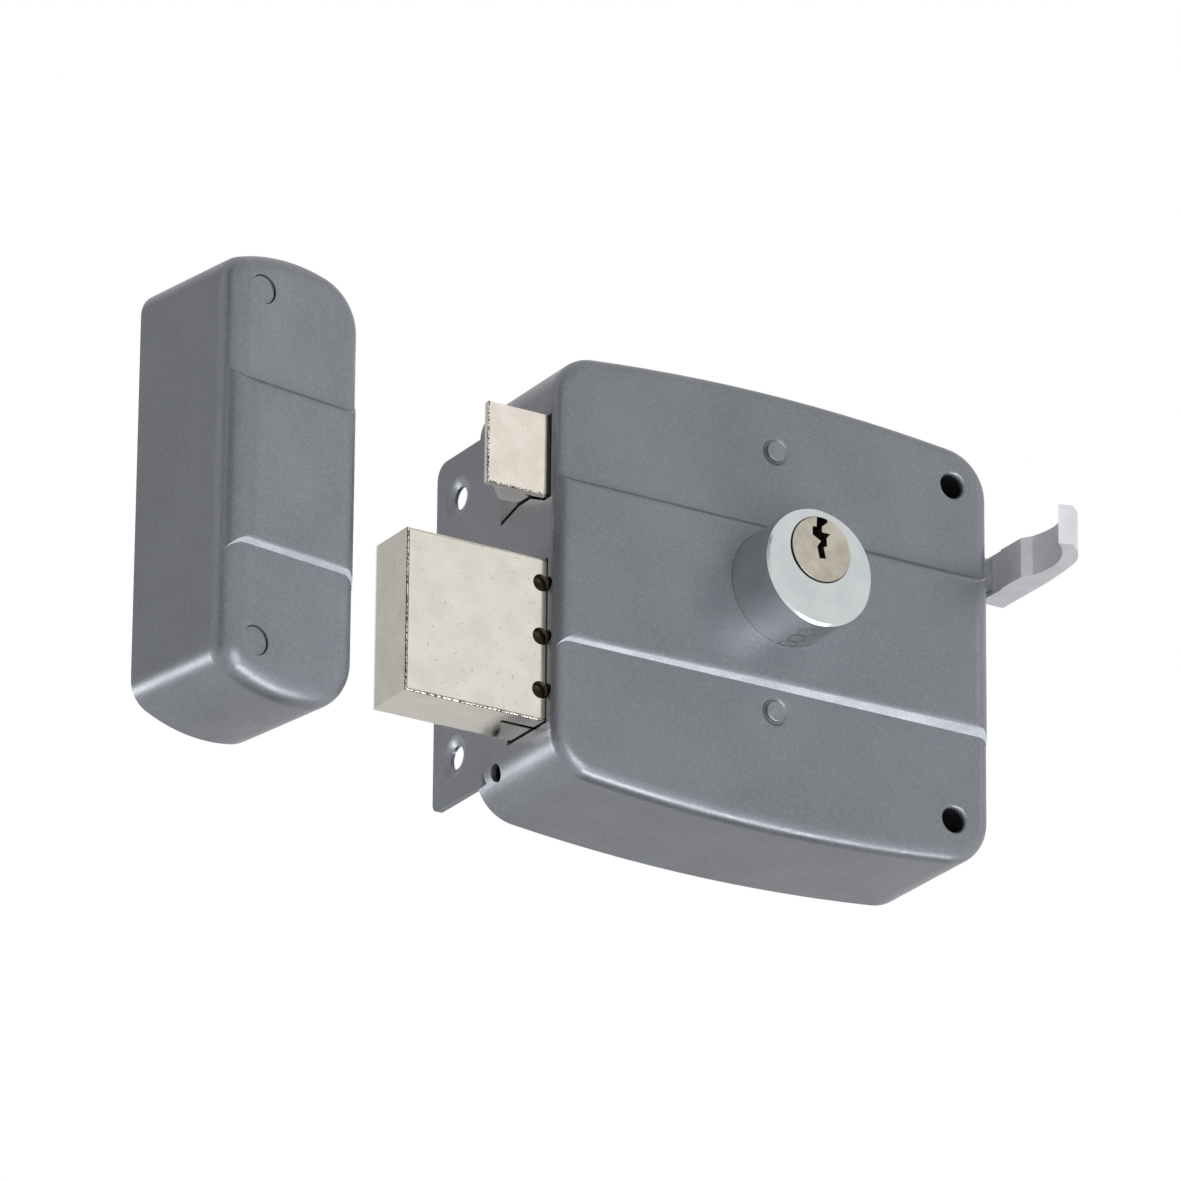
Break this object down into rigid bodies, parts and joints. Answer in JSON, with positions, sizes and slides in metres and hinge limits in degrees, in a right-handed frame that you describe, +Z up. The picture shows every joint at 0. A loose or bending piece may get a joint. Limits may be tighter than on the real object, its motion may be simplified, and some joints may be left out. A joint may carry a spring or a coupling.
{
  "type": "rim lock",
  "caption": "Surface-mounted rim lock with a deadbolt, a bevelled spring latch, a key cylinder, a finger pull and a separate strike box.",
  "frame": {"origin": "middle of the lock case's back, on the door's inner face", "axes": "+X from the bolts to the finger pull, +Y into the door, +Z up; the room is at -Y"},
  "size_m": [0.2332, 0.0824, 0.1108],
  "materials": {
    "case_paint": "satin metallic grey lacquer",
    "zinc_sheet": "zinc plated sheet",
    "zinc_screw": "zinc plated",
    "zinc_steel": "zinc plated",
    "cylinder_chrome": "satin chrome plated",
    "chamber_brass": "turned",
    "pin_brass": "turned",
    "spring_steel": "hard drawn",
    "plug_nickel": "nickel plated",
    "cam_steel": "sintered",
    "bolt_nickel": "satin nickel plated",
    "core_steel": "machined",
    "hard_steel": "hardened",
    "rivet_steel": "zinc plated",
    "latch_nickel": "satin nickel plated",
    "bar_steel": "nickel plated",
    "pull_aluminium": "bright extruded"
  },
  "bodies": {
    "lock": {"case": "case_paint", "back_plate": "zinc_sheet", "back_plate_screws": "zinc_screw", "rivet_posts": "case_paint", "corner_pillars": "zinc_steel", "screw_sleeves": "zinc_steel", "cylinder_body": "cylinder_chrome", "cylinder_bracket": "zinc_sheet", "cylinder_screws": "zinc_screw", "chamber_plugs": "chamber_brass", "driver_pins": "pin_brass", "pin_springs": "spring_steel", "bolt_rails": "zinc_steel", "detent_leaf": "spring_steel", "detent_block": "zinc_steel", "detent_screw": "zinc_screw", "latch_guide": "zinc_sheet", "guide_rivets": "rivet_steel", "spring_rod": "hard_steel", "latch_spring": "spring_steel", "strike_box": "case_paint", "strike_plate": "zinc_sheet", "strike_posts": "case_paint"},
    "deadbolt": {"deadbolt_jacket": "bolt_nickel", "deadbolt_core": "core_steel", "deadbolt_pins": "hard_steel", "deadbolt_tail": "zinc_steel", "tail_rivets": "rivet_steel"},
    "latch": {"latch_head": "latch_nickel", "latch_bar": "bar_steel", "latch_rivets": "rivet_steel", "pull": "pull_aluminium", "pull_pin": "hard_steel"},
    "plug": {"plug": "plug_nickel", "key_pins": "pin_brass", "cam": "cam_steel", "cam_circlip": "spring_steel"}
  },
  "joints": [
    {"name": "deadbolt_slide", "type": "slide", "parent": "lock", "child": "deadbolt", "axis": [1, 0, 0], "range_m": [0, 0.037]},
    {"name": "latch_slide", "type": "slide", "parent": "lock", "child": "latch", "axis": [1, 0, 0], "range_m": [0, 0.0155], "stiffness_N_per_m": 400, "springref_m": -0.008, "deforming": ["latch_spring"]},
    {"name": "plug_turn", "type": "hinge", "parent": "lock", "child": "plug", "pos_m": [0.001, -0.04, 0.0091], "axis": [0, -1, 0], "range_deg": [0, 720]}
  ],
  "couplings": [
    {"joint": "plug_turn", "follows": "deadbolt_slide", "rad_per_m": 339.6}
  ]
}
